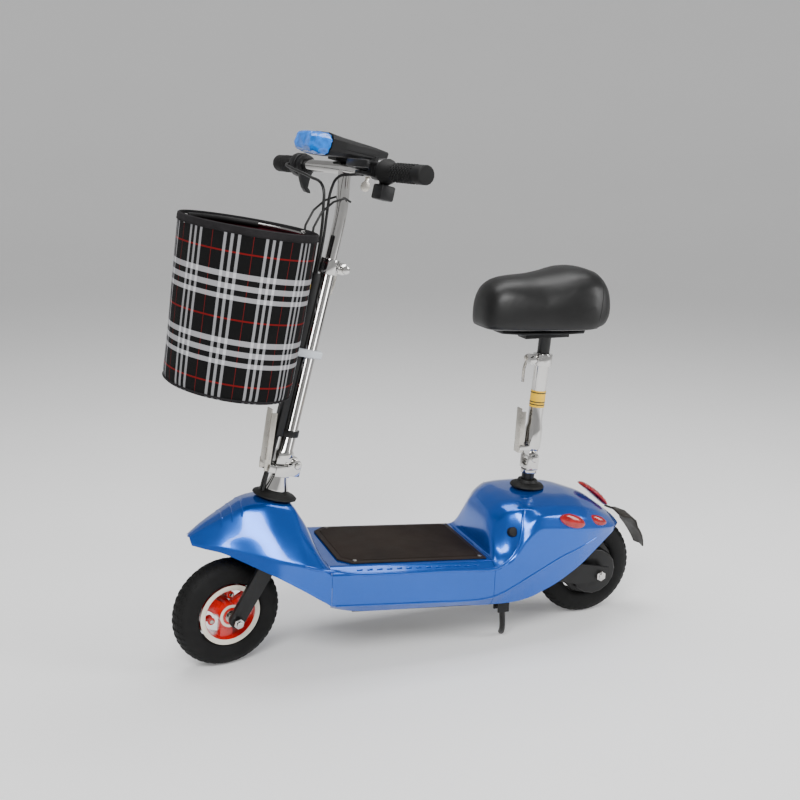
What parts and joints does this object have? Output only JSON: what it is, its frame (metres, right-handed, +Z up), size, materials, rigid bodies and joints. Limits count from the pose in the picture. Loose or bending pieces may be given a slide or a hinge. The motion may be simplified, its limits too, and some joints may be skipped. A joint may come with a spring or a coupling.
{
  "type": "seated electric kick scooter",
  "caption": "Small folding electric kick scooter with a saddle on a telescopic post, raked telescopic stem, fabric basket, drum brake and moulded body.",
  "frame": {"origin": "centre of the footprint box on the ground, under the scooter's middle", "axes": "+X forward along the scooter, +Y to the rider's left, +Z up; the steering is turned 12 degrees to the left at rest"},
  "size_m": [0.9574, 0.4943, 0.9371],
  "materials": {
    "body_paint": "metallic blue gloss",
    "chrome": "polished",
    "steel": "zinc plated",
    "black_paint": "satin black powder coat",
    "black_plastic": "moulded, fine grain",
    "rubber": "matte moulded",
    "tyre": "matte",
    "deck_rubber": "ribbed brown-black",
    "saddle_vinyl": "grained satin vinyl",
    "red_paint": "gloss red",
    "cream_paint": "gloss cream",
    "red_lens": "clear red",
    "blue_lens": "clear blue, faceted",
    "basket_fabric": "black, white and red tartan",
    "basket_lining": "plain maroon",
    "white_plastic": "moulded",
    "battery_case": "shrink sleeve",
    "yellow_label": "printed label stock"
  },
  "bodies": {
    "chassis": {"frame": "steel", "front_cover": "body_paint", "deck_shell": "body_paint", "rear_cover": "body_paint", "belly_pan": "black_plastic", "battery_pack": "battery_case", "controller": "steel", "drive_motor": "steel", "deck_mat": "deck_rubber", "side_light_left_front": "red_lens", "side_light_left_rear": "red_lens", "side_light_right_front": "red_lens", "side_light_right_rear": "red_lens", "tail_light": "red_lens", "rear_fender": "rubber", "charge_port_cap": "rubber", "drive_chain": "steel", "brake_drum": "black_paint", "rear_axle": "chrome", "seat_boot": "rubber", "seat_lower_post": "black_paint"},
    "steering": {"fork": "black_paint", "front_axle": "chrome", "stem_hinge": "chrome", "stem_boot": "rubber"},
    "front_wheel": {"front_rim": "red_paint", "front_tyre": "tyre"},
    "rear_wheel": {"rear_rim": "black_paint", "rear_tyre": "tyre"},
    "motor_shaft": {"motor_sprocket": "steel"},
    "stem": {"stem_tube": "chrome", "stem_clamp": "chrome", "cable_sleeve": "black_plastic", "basket": "basket_fabric", "basket_hanger": "black_paint", "basket_clip": "white_plastic", "brake_cable": "black_plastic", "wiring_cable": "black_plastic"},
    "riser": {"handlebar": "chrome", "grip_left": "rubber", "grip_right": "rubber", "brake_bracket": "black_plastic", "throttle_housing": "black_plastic", "console": "black_plastic", "headlight_lens": "blue_lens", "switch_box": "black_plastic"},
    "stem_latch": {"stem_fold_lever": "steel"},
    "stem_cam": {"stem_clamp_lever": "steel"},
    "brake_blade": {"brake_lever": "black_plastic"},
    "thumb_throttle": {"throttle_lever": "black_plastic"},
    "key": {"ignition_key": "steel"},
    "horn": {"horn_button": "red_paint"},
    "bail": {"basket_handle": "steel"},
    "seat_cam": {"seat_clamp_lever": "steel"},
    "seat_latch": {"seat_fold_lever": "steel"},
    "stand": {"kickstand": "black_paint"},
    "seat_mast": {"seat_tube": "chrome"},
    "seat": {"seat_post": "black_paint", "saddle_pan": "black_plastic", "saddle": "saddle_vinyl"}
  },
  "joints": [
    {"name": "steering", "type": "hinge", "parent": "chassis", "child": "steering", "pos_m": [0.289, 0, 0.3], "axis": [-0.2419, 0, 0.9703], "range_deg": [-57, 33]},
    {"name": "front_wheel_spin", "type": "hinge", "parent": "steering", "child": "front_wheel", "pos_m": [0.38019, 0.00852, 0.10002], "axis": [-0.2017, 0.9781, -0.0503], "continuous": true},
    {"name": "rear_wheel_spin", "type": "hinge", "parent": "chassis", "child": "rear_wheel", "pos_m": [-0.343, 0, 0.1], "axis": [0, 1, 0], "continuous": true},
    {"name": "motor_spin", "type": "hinge", "parent": "chassis", "child": "motor_shaft", "pos_m": [-0.144, -0.0433, 0.204], "axis": [0, 1, 0], "continuous": true},
    {"name": "stem_fold", "type": "hinge", "parent": "steering", "child": "stem", "pos_m": [0.25215, -0.00457, 0.35883], "axis": [0.2017, -0.9781, 0.0503], "range_deg": [0, 30], "deforming": ["brake_cable", "wiring_cable"]},
    {"name": "stem_latch_swing", "type": "hinge", "parent": "steering", "child": "stem_latch", "pos_m": [0.30108, 0.00561, 0.36073], "axis": [-0.2017, 0.9781, -0.0503], "range_deg": [0, 75]},
    {"name": "stem_height", "type": "slide", "parent": "stem", "child": "riser", "axis": [-0.2419, 0, 0.9703], "range_m": [-0.02, 0.1], "deforming": ["brake_cable", "wiring_cable"]},
    {"name": "stem_cam_swing", "type": "hinge", "parent": "stem", "child": "stem_cam", "pos_m": [0.1686, -0.02308, 0.70387], "axis": [-0.2017, 0.9781, -0.0503], "range_deg": [0, 90]},
    {"name": "brake_squeeze", "type": "hinge", "parent": "riser", "child": "brake_blade", "pos_m": [0.1624, 0.11501, 0.87914], "axis": [-0.2333, -0.041, 0.9716], "range_deg": [0, 20], "stiffness_Nm_per_rad": 2, "springref_deg": -5.73},
    {"name": "throttle_push", "type": "hinge", "parent": "riser", "child": "thumb_throttle", "pos_m": [0.1589, 0.00266, 0.87356], "axis": [0.2117, -0.9773, 0.0096], "range_deg": [0, 25], "stiffness_Nm_per_rad": 0.15, "springref_deg": -5.73},
    {"name": "key_turn", "type": "hinge", "parent": "riser", "child": "key", "pos_m": [0.12551, 0.02602, 0.86524], "axis": [-0.2419, 0, 0.9703], "range_deg": [0, 90]},
    {"name": "horn_press", "type": "slide", "parent": "riser", "child": "horn", "axis": [0.9491, 0.2079, 0.2366], "range_m": [0, 0.002], "stiffness_N_per_m": 300, "springref_m": -0.001},
    {"name": "basket_bail", "type": "hinge", "parent": "stem", "child": "bail", "pos_m": [0.33553, 0.03428, 0.78003], "axis": [-0.9678, -0.207, -0.1435], "range_deg": [0, 170]},
    {"name": "seat_fold", "type": "hinge", "parent": "chassis", "child": "seat_mast", "pos_m": [-0.21673, 0, 0.33268], "axis": [0, -1, 0], "range_deg": [-80, 0]},
    {"name": "seat_latch_swing", "type": "hinge", "parent": "seat_mast", "child": "seat_latch", "pos_m": [-0.19198, 0, 0.35041], "axis": [0, 1, 0], "range_deg": [0, 60]},
    {"name": "seat_height", "type": "slide", "parent": "seat_mast", "child": "seat", "axis": [-0.0872, 0, 0.9962], "range_m": [-0.025, 0.08]},
    {"name": "seat_cam_swing", "type": "hinge", "parent": "seat_mast", "child": "seat_cam", "pos_m": [-0.20889, -0.0119, 0.5241], "axis": [0, -1, 0], "range_deg": [0, 90]},
    {"name": "stand_fold", "type": "hinge", "parent": "chassis", "child": "stand", "pos_m": [-0.127, 0.083, 0.07], "axis": [0, 1, 0], "range_deg": [0, 85]}
  ],
  "couplings": [
    {"joint": "motor_spin", "follows": "rear_wheel_spin", "ratio": 3.4138}
  ]
}
